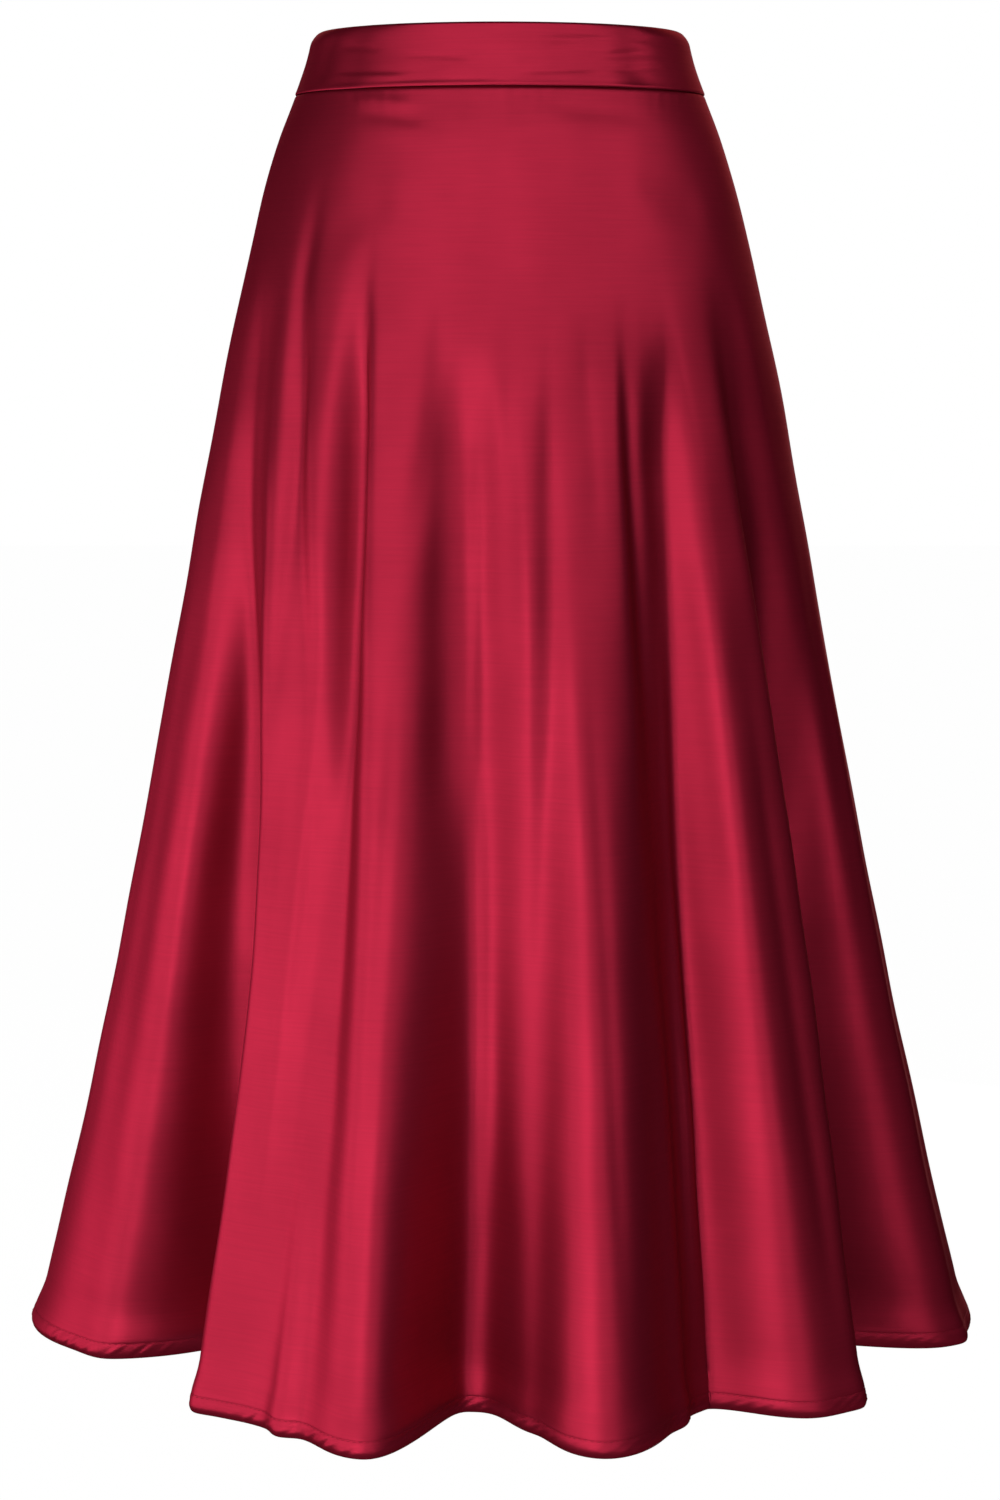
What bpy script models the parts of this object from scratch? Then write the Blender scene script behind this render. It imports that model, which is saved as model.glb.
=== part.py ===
"""A long flared skirt in satin, as it hangs filled out with nobody in it.

The skirt is one front panel and two back panels on a shaped waistband, with side seams at the
left and right and a concealed zip at the centre back. The front faces -Y, +X is to the right of
someone who looks at the front, and the origin is at the centre of the waistband, half way up it.

Every ring of cloth is an ellipse-like section (SECTIONS), with long troughs pressed into it
(FOLDS) that start below the hips and deepen towards the hem.
"""

import math

import bmesh
import bpy
import numpy as np

# Heights, in metres from the middle of the waistband
BAND_TOP = 0.021
BAND_FOOT = -0.021
HIP = -0.150
THIGH = -0.300
KNEE = -0.560
HEM_TURN_TOP = -0.887
HEM = -0.899
ZIP_END = -0.175

# Cloth and seams
SATIN_WALL = 0.0015
HEM_WALL = 0.0024
BAND_PROUD = 0.0007
BAND_INSIDE = 0.0016
EDGE_ROUND = 0.0008
SEAM_GAP = 0.0003
ZIP_GAP = 0.0016

# Zip
TAPE_WIDTH = 0.022
TAPE_WALL = 0.0009
TAPE_SPREAD = 8.0
TAPE_TOP = -0.0008
SLIDER_SIZE = (0.0070, 0.0024, 0.0100)
SLIDER_HEIGHT = 0.0046
EYE_PLATE = 0.0009
EYE_HOLE_RADIUS = 0.00105
EYE_RADIUS = 0.0018
PULL_CLEAR = 0.0011
PULL_AXIS_HEIGHT = 0.0080
PULL_LENGTH = 0.0165
PULL_TOP_WIDTH = 0.0040
PULL_FOOT_WIDTH = 0.0056
PULL_WINDOW = (0.0017, 0.0026)
PULL_BAR = 0.0005
PULL_THICKNESS = 0.0010

# Mesh density: columns across a whole half of the skirt, and rows down it
PANEL_COLUMNS = 88
BAND_COLUMNS = 44
TAPE_COLUMNS = 4
RING_SAMPLES = 900
SKIRT_ROWS = (
    -0.050, -0.080, -0.115, -0.150, -0.190, -0.235, -0.285, -0.340, -0.400,
    -0.470, -0.550, -0.635, -0.720, -0.800, -0.855,
)
TAPE_ROWS = (-0.020, -0.050, -0.090, -0.130)

# Sections of the filled-out skirt: height, half width, reach of the front, reach of the back
SECTIONS = (
    (0.021, 0.1285, 0.0970, 0.0985),
    (0.000, 0.1338, 0.1005, 0.1025),
    (-0.021, 0.1414, 0.1050, 0.1075),
    (-0.050, 0.1528, 0.1125, 0.1165),
    (-0.080, 0.1624, 0.1195, 0.1255),
    (-0.120, 0.1726, 0.1280, 0.1360),
    (-0.200, 0.1914, 0.1440, 0.1530),
    (-0.300, 0.2114, 0.1650, 0.1720),
    (-0.400, 0.2306, 0.1870, 0.1900),
    (-0.560, 0.2619, 0.2230, 0.2240),
    (-0.720, 0.2975, 0.2590, 0.2560),
    (-0.850, 0.3293, 0.2885, 0.2850),
    (-0.887, 0.3392, 0.2980, 0.2940),
    (-0.899, 0.3450, 0.3020, 0.2980),
)

# Folds: name, height where it starts, angle at the hips, knee and hem (degrees round from the centre
# front), spread to the left and right with its squareness at the knee (degrees), the same at the
# hem, and how far the cloth moves out at hip, thigh, knee and hem
FOLDS = (
    ("left side valley", -0.09, (-69, -61, -62), (7.6, 11, 4.4), (7.3, 12.5, 5),
     (-0.0035, -0.014, -0.056, -0.108)),
    ("left side roll", -0.10, (-76, -66, -66), (13, 9, 2), (13, 9, 2),
     (-0.002, -0.008, -0.026, -0.055)),
    ("left lobe set back", -0.20, (-46, -42, -41), (12, 14, 2), (12, 14, 2),
     (-0.0005, -0.002, -0.018, -0.036)),
    ("left lobe dip", -0.07, (-56, -38, -36), (4.5, 4.5, 2), (3.4, 3.6, 2),
     (-0.005, -0.007, -0.004, -0.004)),
    ("left crease", -0.11, (-38, -30, -27), (6, 4, 2), (3, 5, 2),
     (-0.005, -0.018, -0.016, -0.012)),
    ("middle valley", -0.14, (-10, -4, -5.5), (10.5, 12, 2.2), (7, 12.5, 2.8),
     (-0.003, -0.017, -0.042, -0.100)),
    ("centre lobe dip", -0.16, (13, 9, 6), (3.8, 3.4, 2), (1.8, 1.8, 2),
     (-0.001, -0.004, -0.010, -0.007)),
    ("right valley", -0.15, (44, 38.5, 35), (12, 4.6, 2.2), (13.5, 6.8, 2.2),
     (-0.005, -0.019, -0.044, -0.070)),
    ("right valley crease", -0.14, (33, 31, 30), (3.5, 3.5, 2), (3, 3, 2),
     (-0.003, -0.007, -0.001, 0.0)),
    ("right lobe dip", -0.30, (46, 41.5, 37), (2.6, 2.6, 2), (2.6, 2.6, 2),
     (0.0, -0.001, -0.006, -0.009)),
    ("right lobe set back", -0.20, (50, 48, 48), (9, 9, 2), (9, 9, 2),
     (0.0, 0.0, -0.006, -0.016)),
    ("right side valley", -0.12, (63, 67, 66), (8, 8, 4), (10.5, 9, 5),
     (-0.004, -0.016, -0.060, -0.125)),
    ("right side roll", -0.15, (73, 73, 72), (8, 9, 2), (8, 9, 2),
     (-0.001, -0.004, -0.012, -0.025)),
    ("back right outer valley", -0.12, (108, 111, 113), (9, 8, 2.4), (10, 9, 3),
     (-0.0035, -0.014, -0.050, -0.115)),
    ("back right lobe dip", -0.18, (128, 130, 131), (3, 3, 2), (3, 3, 2),
     (-0.001, -0.003, -0.007, -0.008)),
    ("back right inner valley", -0.16, (149, 148, 147), (9, 8, 2.4), (10, 8, 3),
     (-0.003, -0.012, -0.036, -0.080)),
    ("centre back dip", -0.20, (171, 172, 173), (3.2, 2.8, 2), (3.2, 2.8, 2),
     (-0.001, -0.003, -0.006, -0.008)),
    ("back left inner valley", -0.13, (-161, -162, -163), (8, 9, 2.3), (9, 10, 3),
     (-0.004, -0.015, -0.048, -0.096)),
    ("back left crease", -0.14, (-140, -142, -143), (3.2, 2.8, 2), (3.2, 2.8, 2),
     (-0.002, -0.008, -0.009, -0.010)),
    ("back left outer valley", -0.15, (-126, -124, -122), (8, 7, 2.4), (9, 8, 3),
     (-0.003, -0.013, -0.032, -0.070)),
    ("back left side valley", -0.12, (-106, -104, -102), (5, 6, 2.2), (5, 6, 2.4),
     (-0.002, -0.007, -0.022, -0.046)),
)
HIP_SPREAD = 0.6
FOLD_EASE = 0.13

SIDE = 90.0
BACK = 180.0

SATIN_COLOUR = (0.42, 0.020, 0.045, 1.0)
TAPE_COLOUR = (0.30, 0.015, 0.032, 1.0)
LACQUER_COLOUR = (0.36, 0.016, 0.036, 1.0)


def flowing(at, stations, values):
    """A smooth curve through the values at their stations, read at the places asked for."""
    order = np.argsort(stations)
    x = np.asarray(stations, float)[order]
    y = np.asarray(values, float)[order]
    step = np.diff(x)
    rise = np.diff(y) / step
    slope = np.concatenate([rise[:1], (rise[:-1] * step[1:] + rise[1:] * step[:-1])
                            / (step[1:] + step[:-1]), rise[-1:]])
    at = np.clip(np.asarray(at, float), x[0], x[-1])
    k = np.clip(np.searchsorted(x, at) - 1, 0, len(x) - 2)
    t = (at - x[k]) / step[k]
    return ((1 + 2 * t) * (1 - t) ** 2 * y[k] + t * (1 - t) ** 2 * step[k] * slope[k]
            + t * t * (3 - 2 * t) * y[k + 1] + t * t * (t - 1) * step[k] * slope[k + 1])


def section(height):
    """Half width, front reach and back reach of the plain section at a height."""
    heights = [row[0] for row in SECTIONS]
    return [float(flowing(height, heights, [row[k] for row in SECTIONS])) for k in (1, 2, 3)]


def fold_push(angles, height):
    """How far the folds move the cloth out at each angle, at this height."""
    push = np.zeros_like(angles)
    places = (HEM, KNEE, HIP)
    for _, start, centres, at_knee, at_hem, depths in FOLDS:
        begun = min(max((start - height) / FOLD_EASE, 0.0), 1.0)
        if begun == 0.0:
            continue
        centre = float(flowing(height, places, centres[::-1]))
        to_left, to_right = (
            float(flowing(height, places, (at_hem[k], at_knee[k], at_knee[k] * HIP_SPREAD)))
            for k in (0, 1))
        square = float(flowing(height, places, (at_hem[2], at_knee[2], min(at_knee[2], 2.4))))
        depth = float(flowing(height, (HEM, KNEE, THIGH, HIP), depths[::-1]))
        away = (angles - centre + 180.0) % 360.0 - 180.0
        away = np.abs(away) / np.where(away < 0, to_left, to_right)
        push += depth * begun * begun * (3 - 2 * begun) * np.exp(-(away ** square))
    return push


def ring(angles, height):
    """Points of the cloth's face round the body at one height, as x and y."""
    half_width, front, back = section(height)
    turn = np.radians(angles)
    depth = np.where(np.cos(turn) > 0, front, back)
    reach = half_width * depth / np.hypot(depth * np.sin(turn), half_width * np.cos(turn))
    reach = reach + fold_push(angles, height)
    return np.stack([reach * np.sin(turn), -reach * np.cos(turn)], axis=1)


def strip(first, last, height, count, gap_first, gap_last):
    """Evenly spaced points along a ring from one seam to the next, and the way out at each."""
    angles = np.linspace(first, last, RING_SAMPLES)
    points = ring(angles, height)
    along = np.concatenate([[0.0], np.cumsum(np.linalg.norm(np.diff(points, axis=0), axis=1))])
    at = np.linspace(gap_first, along[-1] - gap_last, count + 1)
    forward = np.gradient(points, along, axis=0)
    place = np.stack([np.interp(at, along, points[:, k]) for k in (0, 1)], axis=1)
    heading = np.stack([np.interp(at, along, forward[:, k]) for k in (0, 1)], axis=1)
    heading /= np.linalg.norm(heading, axis=1)[:, None]
    return place, np.stack([heading[:, 1], -heading[:, 0]], axis=1)


def wall(name, collection, material, first, last, count, rows):
    """A cloth wall between two seams. Each row is its height, how far its face lies outside the
    ring, how far its back lies inside it, and the gap left at its first and last edge."""
    shape = bmesh.new()
    face, lining = [], []
    for height, outside, inside, gap_first, gap_last in rows:
        place, out = strip(first, last, height, count, gap_first, gap_last)
        face.append([shape.verts.new((x, y, height)) for x, y in place + out * outside])
        lining.append([shape.verts.new((x, y, height)) for x, y in place - out * inside])
    for k in range(len(rows) - 1):
        for j in range(count):
            shape.faces.new((face[k][j], face[k + 1][j], face[k + 1][j + 1], face[k][j + 1]))
            shape.faces.new((lining[k][j], lining[k][j + 1], lining[k + 1][j + 1],
                             lining[k + 1][j]))
        shape.faces.new((face[k][0], lining[k][0], lining[k + 1][0], face[k + 1][0]))
        shape.faces.new((face[k][-1], face[k + 1][-1], lining[k + 1][-1], lining[k][-1]))
    for j in range(count):
        shape.faces.new((face[0][j], face[0][j + 1], lining[0][j + 1], lining[0][j]))
        shape.faces.new((face[-1][j], lining[-1][j], lining[-1][j + 1], face[-1][j + 1]))
    bmesh.ops.recalc_face_normals(shape, faces=shape.faces)
    mesh = bpy.data.meshes.new(name)
    shape.to_mesh(mesh)
    shape.free()
    mesh.shade_smooth()
    mesh.set_sharp_from_angle(angle=math.radians(50))
    return add_part(name, mesh, collection, material)


def add_part(name, data, collection, material):
    piece = bpy.data.objects.new(name, data)
    piece.data.materials.append(material)
    collection.objects.link(piece)
    return piece


def finish_material(name, colour, roughness, metallic):
    material = bpy.data.materials.new(name)
    material.use_nodes = True
    shader = material.node_tree.nodes["Principled BSDF"]
    shader.inputs["Base Color"].default_value = colour
    shader.inputs["Roughness"].default_value = roughness
    shader.inputs["Metallic"].default_value = metallic
    return material


def edge_gap(height, at_zip):
    """Half of the gap at a seam. Along the zip the two edges stand further apart."""
    if at_zip and height > ZIP_END:
        return ZIP_GAP / 2
    return SEAM_GAP / 2


def skirt_rows(zip_first, zip_last):
    """Rows of a skirt panel, from the waist seam to the turned hem."""
    top = BAND_FOOT - SEAM_GAP
    turned = HEM_TURN_TOP - SEAM_GAP
    heights = [(top, SATIN_WALL)] + [(height, SATIN_WALL) for height in SKIRT_ROWS]
    heights += [(HEM_TURN_TOP, SATIN_WALL), (turned, HEM_WALL), (HEM, HEM_WALL)]
    return [(height, 0.0, inside, edge_gap(height, zip_first), edge_gap(height, zip_last))
            for height, inside in heights]


def band_rows(zip_first, zip_last):
    """Rows of a waistband piece, with its top edge rounded."""
    rounded = BAND_TOP - EDGE_ROUND
    heights = [(BAND_TOP, BAND_PROUD - EDGE_ROUND, BAND_INSIDE - EDGE_ROUND),
               (rounded, BAND_PROUD, BAND_INSIDE)]
    heights += [(height, BAND_PROUD, BAND_INSIDE) for height in (0.007, -0.007, BAND_FOOT)]
    return [(height, outside, inside, edge_gap(height, zip_first), edge_gap(height, zip_last))
            for height, outside, inside in heights]


def make_panels(collection, satin):
    half = PANEL_COLUMNS // 2
    wall("skirt_front", collection, satin, -SIDE, SIDE, PANEL_COLUMNS, skirt_rows(False, False))
    wall("skirt_back_right", collection, satin, SIDE, BACK, half, skirt_rows(False, True))
    wall("skirt_back_left", collection, satin, -BACK, -SIDE, half, skirt_rows(True, False))


def make_waistband(collection, satin):
    half = BAND_COLUMNS // 2
    wall("waistband_front", collection, satin, -SIDE, SIDE, BAND_COLUMNS, band_rows(False, False))
    wall("waistband_back_right", collection, satin, SIDE, BACK, half, band_rows(False, True))
    wall("waistband_back_left", collection, satin, -BACK, -SIDE, half, band_rows(True, False))


def make_tape(collection, material):
    """The closed chain and its tape, a narrow strip behind the opening."""
    face = BAND_INSIDE + SEAM_GAP
    rows = []
    for height in (TAPE_TOP, *TAPE_ROWS, ZIP_END):
        trim = section(height)[2] * math.radians(TAPE_SPREAD) - TAPE_WIDTH / 2
        rows.append((height, -face, face + TAPE_WALL, trim, trim))
    wall("zip_tape", collection, material, BACK - TAPE_SPREAD, BACK + TAPE_SPREAD, TAPE_COLUMNS,
         rows)


def back_face(height):
    """Where the outer face of the band lies at the centre back."""
    return section(height)[2] + BAND_PROUD


def pull_axis():
    """The cross bar of the pull, just outside the band at the centre back."""
    return (0.0, back_face(PULL_AXIS_HEIGHT) + PULL_CLEAR, PULL_AXIS_HEIGHT)


def add_round(name, radius, length, place, collection, cutter):
    """A short cylinder along X."""
    shape = bmesh.new()
    bmesh.ops.create_cone(shape, cap_ends=True, segments=20, radius1=radius, radius2=radius,
                          depth=length)
    mesh = bpy.data.meshes.new(name)
    shape.to_mesh(mesh)
    shape.free()
    piece = bpy.data.objects.new(name, mesh)
    piece.rotation_euler = (0.0, math.pi / 2, 0.0)
    piece.location = place
    collection.objects.link(piece)
    if cutter:
        piece.hide_render = True
        piece.display_type = "WIRE"
    return piece


def add_block(name, size, place, collection):
    """A block of this size, with its size in the mesh and not in its scale."""
    shape = bmesh.new()
    bmesh.ops.create_cube(shape, size=1.0)
    bmesh.ops.scale(shape, vec=size, verts=shape.verts)
    mesh = bpy.data.meshes.new(name)
    shape.to_mesh(mesh)
    shape.free()
    piece = bpy.data.objects.new(name, mesh)
    piece.location = place
    collection.objects.link(piece)
    return piece


def join(piece, other, operation):
    step = piece.modifiers.new(operation.lower() + " " + other.name, "BOOLEAN")
    step.operation = operation
    step.object = other
    other.hide_render = True
    other.display_type = "WIRE"


def make_slider(collection, cutters, material):
    """The slider behind the band, with the eye plate that comes out through the opening."""
    _, axis_y, axis_z = pull_axis()
    behind = section(SLIDER_HEIGHT)[2] - BAND_INSIDE - SEAM_GAP - SLIDER_SIZE[1] / 2
    slope = section(SLIDER_HEIGHT - SLIDER_SIZE[2] / 2)[2] - section(SLIDER_HEIGHT)[2]
    body = add_block("zip_slider", SLIDER_SIZE, (0.0, behind - slope, SLIDER_HEIGHT), collection)
    rounding = body.modifiers.new("rounded", "BEVEL")
    rounding.width = 0.0006
    rounding.segments = 2
    neck_length = axis_y - behind + slope
    neck = add_block("neck", (EYE_PLATE, neck_length, 2 * EYE_RADIUS),
                     (0.0, axis_y - neck_length / 2, axis_z), cutters)
    eye = add_round("eye", EYE_RADIUS, EYE_PLATE, (0.0, axis_y, axis_z), cutters, True)
    hole = add_round("eye hole", EYE_HOLE_RADIUS, 4 * EYE_PLATE, (0.0, axis_y, axis_z), cutters,
                     True)
    join(body, neck, "UNION")
    join(body, eye, "UNION")
    join(body, hole, "DIFFERENCE")
    body.data.materials.append(material)
    body.data.shade_smooth()
    body.data.set_sharp_from_angle(angle=math.radians(35))


def pull_outline():
    """The tab's outline, which widens from its cross bar to a round foot."""
    top = PULL_TOP_WIDTH / 2
    foot = PULL_FOOT_WIDTH / 2
    corners = [(-top, PULL_BAR), (-top, -PULL_WINDOW[1] - PULL_BAR)]
    turn = np.linspace(math.pi, 2 * math.pi, 11)
    low = -PULL_LENGTH + foot
    corners += [(foot * math.cos(a), low + foot * math.sin(a)) for a in turn]
    corners += [(top, -PULL_WINDOW[1] - PULL_BAR), (top, PULL_BAR)]
    return corners


def pull_window():
    side = PULL_WINDOW[0] / 2
    return [(-side, -PULL_BAR), (side, -PULL_BAR), (side, -PULL_WINDOW[1]),
            (-side, -PULL_WINDOW[1])]


def make_pull(collection, material):
    """The tab, with its origin on the cross bar that it turns on."""
    outline = bpy.data.curves.new("zip_pull", "CURVE")
    outline.dimensions = "2D"
    outline.fill_mode = "BOTH"
    outline.extrude = PULL_THICKNESS / 2
    for corners in (pull_outline(), pull_window()):
        run = outline.splines.new("POLY")
        run.points.add(len(corners) - 1)
        run.use_cyclic_u = True
        for point, (x, y) in zip(run.points, corners):
            point.co = (x, y, 0.0, 1.0)
    pull = add_part("zip_pull", outline, collection, material)
    _, axis_y, axis_z = pull_axis()
    lean = math.atan2(back_face(axis_z - PULL_LENGTH) - back_face(axis_z), PULL_LENGTH)
    pull.location = (0.0, axis_y, axis_z)
    pull.rotation_euler = (math.pi / 2 + lean, 0.0, 0.0)


def main():
    for old in list(bpy.data.objects):
        bpy.data.objects.remove(old)
    skirt = bpy.data.collections.new("maxi skirt")
    cutters = bpy.data.collections.new("cutters")
    for collection in (skirt, cutters):
        bpy.context.scene.collection.children.link(collection)
    cutters.hide_render = True
    satin = finish_material("crimson satin", SATIN_COLOUR, 0.38, 0.0)
    tape = finish_material("crimson zip tape", TAPE_COLOUR, 0.75, 0.0)
    lacquer = finish_material("crimson lacquered metal", LACQUER_COLOUR, 0.35, 0.6)
    make_panels(skirt, satin)
    make_waistband(skirt, satin)
    make_tape(skirt, tape)
    make_slider(skirt, cutters, lacquer)
    make_pull(skirt, lacquer)


main()
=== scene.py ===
# %% [markdown]
# # A long satin skirt, filled out as on an invisible wearer
# The real skirt is cut from three flared panels of heavy crimson satin, sewn to a shaped
# waistband. It has no pattern and no trim, so all of its look comes from two things: the long
# soft folds that the flare makes, and the broad sheen that runs down them.
# This script starts from the solid model, a fixed frame with one node for each cut piece, and
# puts a fine cloth shell in the place of each of those solids.

# %% Load the solid model and keep its size
import math

import bmesh
import bpy
import numpy as np
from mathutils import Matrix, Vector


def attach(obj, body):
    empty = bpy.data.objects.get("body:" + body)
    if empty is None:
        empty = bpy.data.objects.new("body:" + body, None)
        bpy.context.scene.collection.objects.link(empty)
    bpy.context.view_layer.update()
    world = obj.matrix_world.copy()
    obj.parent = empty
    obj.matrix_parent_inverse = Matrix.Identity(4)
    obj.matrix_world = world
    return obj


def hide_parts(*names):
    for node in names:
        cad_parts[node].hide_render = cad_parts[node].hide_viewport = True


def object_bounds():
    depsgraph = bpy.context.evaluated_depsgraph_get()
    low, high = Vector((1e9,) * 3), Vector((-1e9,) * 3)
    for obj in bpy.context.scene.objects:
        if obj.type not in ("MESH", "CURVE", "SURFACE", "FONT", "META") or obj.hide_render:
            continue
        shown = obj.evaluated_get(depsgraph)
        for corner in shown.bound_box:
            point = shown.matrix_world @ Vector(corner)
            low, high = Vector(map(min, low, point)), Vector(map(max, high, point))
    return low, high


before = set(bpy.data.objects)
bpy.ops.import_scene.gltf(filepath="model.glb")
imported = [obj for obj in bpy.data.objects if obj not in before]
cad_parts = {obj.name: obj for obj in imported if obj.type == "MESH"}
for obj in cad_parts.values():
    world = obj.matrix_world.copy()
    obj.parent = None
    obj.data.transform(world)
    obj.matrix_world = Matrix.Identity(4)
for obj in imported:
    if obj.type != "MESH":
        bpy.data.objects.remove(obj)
solid_box = [list(corner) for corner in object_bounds()]
print("solid pieces:", sorted(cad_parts))
print("solid box:", solid_box)

# %% [markdown]
# ## The camera
# The skirt was seen from straight in front, from a little above its middle, with a lens long
# enough to keep the waist and the hem in proportion. A camera looks along its own -Z, so a turn
# about X by 90 degrees levels it, and a little less tilts it down.

# %% Place the camera
CAMERA_LENS = 75.0
CAMERA_SENSOR = 36.0
CAMERA_PLACE = (0.0, -2.21, -0.1685)
CAMERA_TILT_DOWN = 8.0

lens = bpy.data.cameras.new("camera")
lens.lens = CAMERA_LENS
lens.sensor_width = CAMERA_SENSOR
camera = bpy.data.objects.new("camera", lens)
camera.location = CAMERA_PLACE
camera.rotation_euler = (math.radians(90.0 - CAMERA_TILT_DOWN), 0.0, 0.0)
bpy.context.scene.collection.objects.link(camera)
bpy.context.scene.camera = camera
bpy.context.scene.view_settings.view_transform = "Standard"
print("camera at", CAMERA_PLACE, "tilted down", CAMERA_TILT_DOWN)

# %% [markdown]
# ## The studio
# Satin shows its light sources as long soft bands, so the light matters as much as the cloth. A
# broad tall light at the left is the bright side of every fold. A low one further round lights the
# cloth that turns away to the left, two narrow low ones open the front, and high ones in front and
# at the right make the broad sheen over the hips. No light stands low at the far right, so the
# right side of each fold falls to a deep red. Two more stand behind, for the views from there.

# %% Floor and background
FLOOR_GAP = 0.55
FLOOR_SIZE = 30.0


def add_object(name, data):
    """Put a mesh or a light into the scene."""
    thing = bpy.data.objects.new(name, data)
    bpy.context.scene.collection.objects.link(thing)
    return thing


def new_material(name):
    """A node material with its shader and its output, and nothing else."""
    material = bpy.data.materials.new(name)
    material.use_nodes = True
    tree = material.node_tree
    return material, tree, tree.nodes["Principled BSDF"]


floor_mesh = bpy.data.meshes.new("floor")
shape = bmesh.new()
bmesh.ops.create_grid(shape, x_segments=1, y_segments=1, size=FLOOR_SIZE / 2)
shape.to_mesh(floor_mesh)
shape.free()
floor = add_object("floor", floor_mesh)
floor.location.z = solid_box[0][2] - FLOOR_GAP

floor_material, tree, shader = new_material("pale floor")
shader.inputs["Base Color"].default_value = (0.30, 0.295, 0.29, 1.0)
shader.inputs["Roughness"].default_value = 0.9
shader.inputs["Specular IOR Level"].default_value = 0.0
pale = tree.nodes.new("ShaderNodeEmission")
pale.inputs["Color"].default_value = (1.1, 1.1, 1.1, 1.0)
path = tree.nodes.new("ShaderNodeLightPath")
share = tree.nodes.new("ShaderNodeMath")
share.operation = "MULTIPLY"
share.inputs[1].default_value = 0.90
mix = tree.nodes.new("ShaderNodeMixShader")
tree.links.new(path.outputs["Is Camera Ray"], share.inputs[0])
tree.links.new(share.outputs[0], mix.inputs[0])
tree.links.new(shader.outputs[0], mix.inputs[1])
tree.links.new(pale.outputs[0], mix.inputs[2])
tree.links.new(mix.outputs[0], tree.nodes["Material Output"].inputs["Surface"])
floor_mesh.materials.append(floor_material)

world = bpy.data.worlds.new("studio")
bpy.context.scene.world = world
world.use_nodes = True
air = world.node_tree
air.nodes.clear()
seen = air.nodes.new("ShaderNodeBackground")
seen.inputs["Color"].default_value = (1.0, 1.0, 1.0, 1.0)
dim = air.nodes.new("ShaderNodeBackground")
dim.inputs["Color"].default_value = (0.9, 0.93, 1.0, 1.0)
dim.inputs["Strength"].default_value = 0.02
path = air.nodes.new("ShaderNodeLightPath")
pick = air.nodes.new("ShaderNodeMixShader")
out = air.nodes.new("ShaderNodeOutputWorld")
air.links.new(path.outputs["Is Camera Ray"], pick.inputs[0])
air.links.new(dim.outputs[0], pick.inputs[1])
air.links.new(seen.outputs[0], pick.inputs[2])
air.links.new(pick.outputs[0], out.inputs[0])
print("floor at", round(floor.location.z, 3))

# %% Soft lights
# name, azimuth from the front (positive to the right), distance, height, width, tall, brightness
LIGHTS = (
    ("left key", -33.0, 2.6, 0.15, 2.0, 3.2, 1.10),
    ("left low", -82.0, 2.6, -0.65, 2.2, 1.5, 1.30),
    ("front left", -19.0, 3.0, -0.60, 0.7, 1.7, 1.90),
    ("front low", 20.0, 3.0, -0.60, 0.8, 1.7, 1.40),
    ("front high", 10.0, 3.0, 1.30, 1.8, 1.5, 1.15),
    ("right high", 54.0, 2.8, 1.20, 1.5, 1.5, 1.15),
    ("back key", 154.0, 2.6, 0.15, 1.4, 3.2, 1.2),
    ("back high", -170.0, 3.0, 1.30, 2.2, 1.5, 1.1),
)
AIM = (0.0, 0.0, -0.42)

for name, azimuth, distance, height, width, tall, brightness in LIGHTS:
    lamp = bpy.data.lights.new(name, "AREA")
    lamp.shape = "RECTANGLE"
    lamp.size = width
    lamp.size_y = tall
    lamp.energy = brightness * math.pi * width * tall
    light = add_object(name, lamp)
    light.visible_camera = False
    turn = math.radians(azimuth)
    place = np.array((distance * math.sin(turn), -distance * math.cos(turn), height))
    light.location = place
    down = place - np.array(AIM)
    light.rotation_euler = (math.atan2(math.hypot(down[0], down[1]), down[2]), 0.0, turn)
print("soft lights:", [row[0] for row in LIGHTS])

# %% [markdown]
# ## The shape of the cloth
# Every ring of the skirt starts as an ellipse through the half width, the front and the back of
# the filled-out body. Troughs are then pressed into it. Each trough is one row of a table: where
# it starts at the hips, where it reaches the hem, how wide it is to either side and how deep it
# gets. A table like this is easy to change by eye, which a simulation isn't, and it lets every
# fold be as uneven as the real one.

# %% Sections and folds
BAND_TOP = 0.021
BAND_FOOT = -0.021
HIP = -0.150
THIGH = -0.300
KNEE = -0.560
HEM_TURN_TOP = -0.887
HEM = -0.899

# height, half width, reach of the front, reach of the back
SECTIONS = (
    (0.021, 0.1285, 0.0970, 0.0985),
    (0.000, 0.1338, 0.1005, 0.1025),
    (-0.021, 0.1414, 0.1050, 0.1075),
    (-0.050, 0.1528, 0.1125, 0.1165),
    (-0.080, 0.1624, 0.1195, 0.1255),
    (-0.120, 0.1726, 0.1280, 0.1360),
    (-0.200, 0.1914, 0.1440, 0.1530),
    (-0.300, 0.2114, 0.1650, 0.1720),
    (-0.400, 0.2306, 0.1870, 0.1900),
    (-0.560, 0.2619, 0.2230, 0.2240),
    (-0.720, 0.2975, 0.2590, 0.2560),
    (-0.850, 0.3293, 0.2885, 0.2850),
    (-0.887, 0.3392, 0.2980, 0.2940),
    (-0.899, 0.3450, 0.3020, 0.2980),
)

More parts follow.
